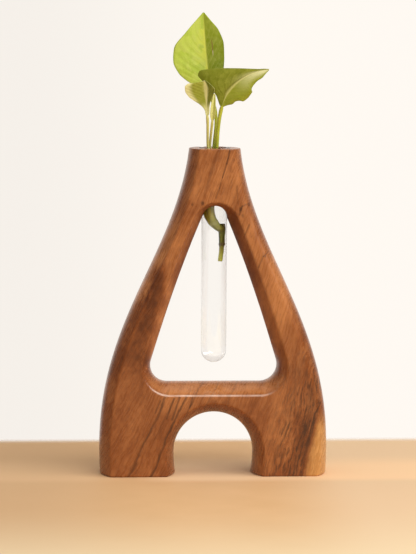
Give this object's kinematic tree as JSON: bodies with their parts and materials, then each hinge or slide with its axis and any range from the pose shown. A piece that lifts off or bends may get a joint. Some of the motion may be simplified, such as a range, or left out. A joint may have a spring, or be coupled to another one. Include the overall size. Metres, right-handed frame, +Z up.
{
  "type": "test tube vase",
  "caption": "Carved wooden stand with a triangular opening that holds a glass test tube by its rim, with water and a leafy vine cutting that lift out.",
  "frame": {"origin": "on the table, under the middle of the stand, on the tube's axis", "axes": "+Z up along the tube, -Y out of the front face, +X to the right seen from the front"},
  "size_m": [0.1612, 0.042, 0.3246],
  "materials": {
    "wood": "satin",
    "glass": "clear",
    "water": "clear",
    "vine": "satin",
    "green_stalk": "satin",
    "pale_stalk": "satin",
    "tall_leaf": "satin",
    "side_leaf": "satin",
    "young_leaf": "satin"
  },
  "bodies": {
    "stand": {"stand": "wood"},
    "tube": {"test_tube": "glass", "water": "water"},
    "cutting": {"vine": "vine", "tall_stalk": "green_stalk", "tall_leaf": "tall_leaf", "side_stalk": "green_stalk", "side_leaf": "side_leaf", "young_stalk": "pale_stalk", "young_leaf": "young_leaf", "furled_stalk": "pale_stalk", "furled_leaf": "young_leaf"}
  },
  "joints": [
    {"name": "tube_lift", "type": "slide", "parent": "stand", "child": "tube", "axis": [0, 0, 1], "range_m": [0, 0.16]},
    {"name": "cutting_lift", "type": "slide", "parent": "tube", "child": "cutting", "axis": [0, 0, 1], "range_m": [0, 0.09], "deforming": ["water"]}
  ]
}
